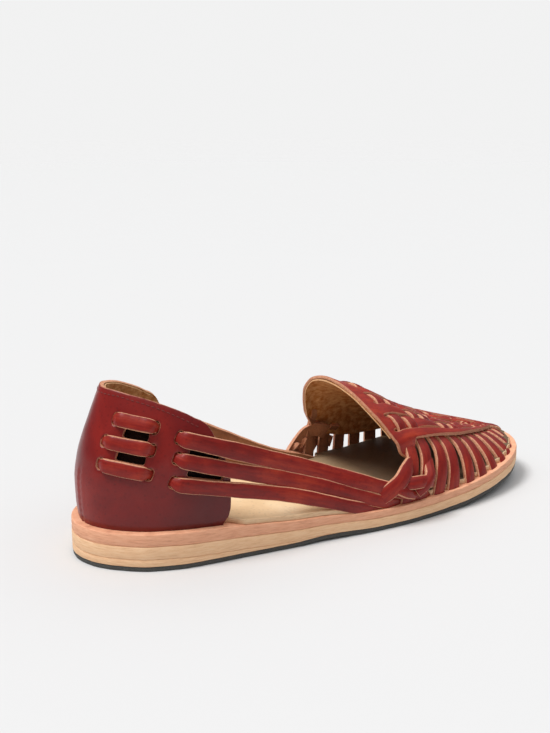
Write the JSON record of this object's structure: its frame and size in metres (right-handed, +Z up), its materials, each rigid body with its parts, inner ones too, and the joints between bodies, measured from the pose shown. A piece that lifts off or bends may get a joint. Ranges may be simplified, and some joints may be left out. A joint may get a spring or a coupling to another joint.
{
  "type": "huarache sandal",
  "caption": "Flat woven leather huarache for a right foot: stacked leather sole, slit heel counter, side straps threaded forward to a woven vamp with a tongue.",
  "frame": {"origin": "on the floor, under the middle of the sandal's box", "axes": "+X from the heel to the toe, -Y the lateral (little toe) side, +Z up from the floor"},
  "size_m": [0.2498, 0.0868, 0.078],
  "materials": {
    "brandy_leather": "polished smooth calf leather, red-brown, waxy gloss with raw tan edges",
    "strap_leather": "smooth red-brown strap leather, satin, raw tan edges",
    "tan_leather": "natural vegetable-tanned leather, sanded edge, matt",
    "rose_leather": "natural leather board with a rosy edge, sanded, matt",
    "footbed_leather": "pale natural leather footbed, soft satin",
    "sole_rubber": "dark grey rubber sheet, matt"
  },
  "bodies": {
    "root": {"outsole": "sole_rubber", "heel_lift": "tan_leather", "midsole": "tan_leather", "welt": "rose_leather", "insole": "footbed_leather", "heel_counter": "brandy_leather", "woven_upper": "strap_leather"}
  },
  "joints": []
}
